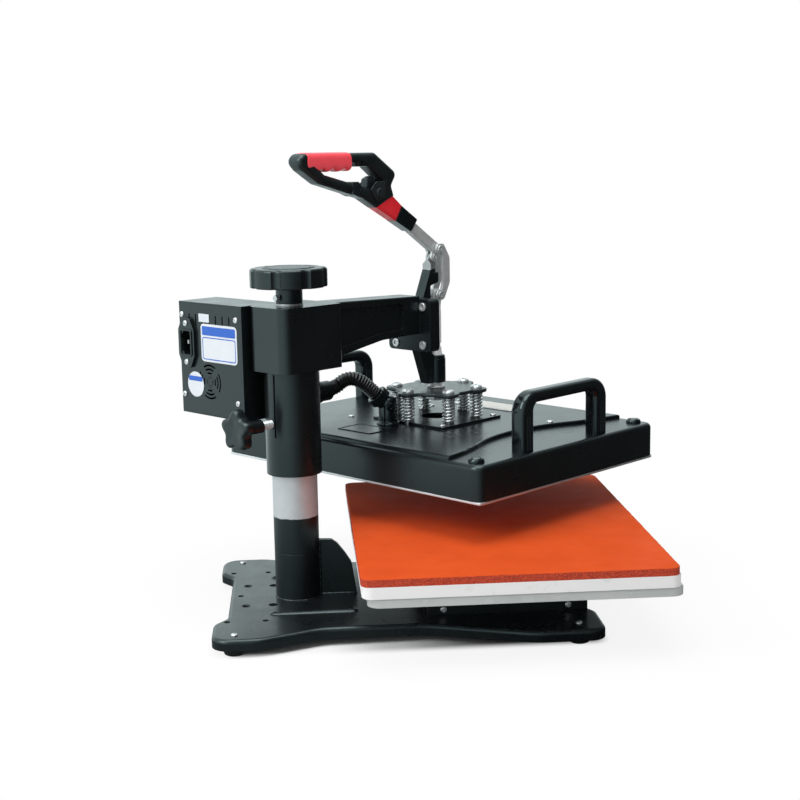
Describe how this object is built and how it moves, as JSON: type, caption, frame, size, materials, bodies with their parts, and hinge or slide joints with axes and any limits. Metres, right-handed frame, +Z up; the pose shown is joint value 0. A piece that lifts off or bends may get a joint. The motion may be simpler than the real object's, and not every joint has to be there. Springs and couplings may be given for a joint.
{
  "type": "combo heat press",
  "caption": "Swing-away toggle heat press: round post on a stamped base, floating heated platen on springs, control box on the head, and a padded lower bed.",
  "frame": {"origin": "centre of the bounding box on the floor, under the feet", "axes": "+Z up, the operator stands at -Y and looks towards +Y, +X to the operator's right"},
  "size_m": [0.5682, 0.5082, 0.4618],
  "materials": {
    "black_enamel": "powder coated black",
    "post_steel": "black paint with a bare polished band",
    "bright_steel": "zinc plated",
    "spring_steel": "bright drawn wire",
    "plate_steel": "black oxide",
    "black_plastic": "moulded black",
    "red_plastic": "moulded red",
    "rubber": "black rubber",
    "tray_grey": "grey enamel",
    "board_white": "white board",
    "silicone_orange": "orange silicone sponge",
    "aluminium": "ground plate",
    "element": "steel tube",
    "fibre": "mineral fibre",
    "circuit": "solder mask",
    "display": "dark window"
  },
  "bodies": {
    "base": {"base_plate": "black_enamel", "rubber_feet": "rubber", "base_screws": "plate_steel", "post_tube": "post_steel", "anchor_bolt": "bright_steel", "post_gusset": "black_enamel", "platen_support": "black_enamel", "lower_tray": "tray_grey", "pad_board": "board_white", "silicone_pad": "silicone_orange", "lift_nut": "bright_steel"},
    "lift": {"thrust_bearing": "bright_steel"},
    "lift_turn": {"lift_screw": "bright_steel", "lift_knob": "black_plastic", "knob_set_screw": "bright_steel"},
    "head": {"swing_sleeve": "black_enamel", "collar_box": "black_enamel", "head_arm": "black_enamel", "casting_screws": "bright_steel", "toggle_casting": "black_enamel", "guide_bush": "bright_steel", "fulcrum_pin": "bright_steel", "control_shell": "black_enamel", "control_panel": "black_enamel", "panel_screws": "bright_steel", "mains_inlet": "black_plastic", "fan_frame": "black_plastic", "circuit_board": "circuit", "display_unit": "display", "hose_gland": "black_plastic", "heater_hose": "black_plastic"},
    "fan": {"fan_rotor": "black_plastic"},
    "clamp": {"clamp_bolt": "bright_steel", "clamp_knob": "black_plastic"},
    "key_1": {"button_1": "black_plastic"},
    "key_2": {"button_2": "black_plastic"},
    "key_3": {"button_3": "black_plastic"},
    "rocker": {"power_rocker": "black_plastic"},
    "lever": {"lever_fork": "bright_steel", "lever_socket": "black_plastic", "lever_sleeve": "red_plastic", "grip_frame": "black_plastic", "grip_cover": "red_plastic"},
    "trigger": {"grip_trigger": "black_plastic"},
    "links": {"toggle_links": "bright_steel", "link_screws": "bright_steel"},
    "plunger": {"plunger_rod": "bright_steel", "plunger_fasteners": "bright_steel", "pressure_plate": "plate_steel"},
    "platen": {"platen_springs": "spring_steel", "spring_base_plate": "black_enamel", "shoulder_screws": "bright_steel", "platen_cover": "black_enamel", "insulation": "fibre", "heat_plate": "aluminium", "heating_element": "element", "platen_handles": "black_plastic", "platen_screws": "plate_steel", "hose_elbow": "black_plastic"}
  },
  "joints": [
    {"name": "head_lift", "type": "slide", "parent": "base", "child": "lift", "axis": [0, 0, 1], "range_m": [-0.021, 0.004]},
    {"name": "lift_knob_turn", "type": "hinge", "parent": "lift", "child": "lift_turn", "pos_m": [-0.0941, 0.1384, 0.33], "axis": [0, 0, 1], "range_deg": [-3780, 720]},
    {"name": "head_swing", "type": "hinge", "parent": "lift", "child": "head", "pos_m": [-0.0941, 0.1384, 0.3], "axis": [0, 0, 1], "range_deg": [-41.5, 120]},
    {"name": "clamp_turn", "type": "hinge", "parent": "head", "child": "clamp", "pos_m": [-0.13236, 0.18466, 0.198], "axis": [-0.6626, 0.749, 0], "range_deg": [-360, 360]},
    {"name": "plunger_slide", "type": "slide", "parent": "head", "child": "plunger", "axis": [0, 0, 1], "range_m": [-0.01792, 0], "deforming": ["heater_hose"]},
    {"name": "lever_turn", "type": "hinge", "parent": "head", "child": "lever", "pos_m": [0.04273, -0.01626, 0.3485], "axis": [-0.749, -0.6626, 0], "range_deg": [-152, 0]},
    {"name": "link_turn", "type": "hinge", "parent": "lever", "child": "links", "pos_m": [0.04572, -0.01963, 0.357], "axis": [-0.749, -0.6626, 0], "range_deg": [0, 157.16]},
    {"name": "platen_float", "type": "slide", "parent": "plunger", "child": "platen", "axis": [0, 0, 1], "range_m": [0, 0.005], "stiffness_N_per_m": 60000, "springref_m": -0.002, "deforming": ["platen_springs"]},
    {"name": "trigger_press", "type": "hinge", "parent": "lever", "child": "trigger", "pos_m": [-0.01491, 0.0489, 0.421], "axis": [-0.749, -0.6626, 0], "range_deg": [0, 8], "stiffness_Nm_per_rad": 0.3, "springref_deg": -8.59},
    {"name": "rocker_tip", "type": "hinge", "parent": "head", "child": "rocker", "pos_m": [0.0146, 0.174, 0.23299], "axis": [0.749, 0.6626, 0], "range_deg": [-5, 5]},
    {"name": "fan_spin", "type": "hinge", "parent": "head", "child": "fan", "pos_m": [-0.05344, 0.2171, 0.2338], "axis": [-0.6626, 0.749, 0], "continuous": true},
    {"name": "key_1_press", "type": "slide", "parent": "head", "child": "key_1", "axis": [0.61, -0.6895, 0.3905], "range_m": [-0.0009, 0], "stiffness_N_per_m": 400, "springref_m": 0.002},
    {"name": "key_2_press", "type": "slide", "parent": "head", "child": "key_2", "axis": [0.61, -0.6895, 0.3905], "range_m": [-0.0009, 0], "stiffness_N_per_m": 400, "springref_m": 0.002},
    {"name": "key_3_press", "type": "slide", "parent": "head", "child": "key_3", "axis": [0.61, -0.6895, 0.3905], "range_m": [-0.0009, 0], "stiffness_N_per_m": 400, "springref_m": 0.002}
  ],
  "couplings": [
    {"joint": "lift_knob_turn", "follows": "head_lift", "rad_per_m": 3141.6},
    {"joint": "lever_turn", "follows": "plunger_slide", "rad_per_m": 148.04},
    {"joint": "link_turn", "follows": "plunger_slide", "rad_per_m": -153.05}
  ]
}
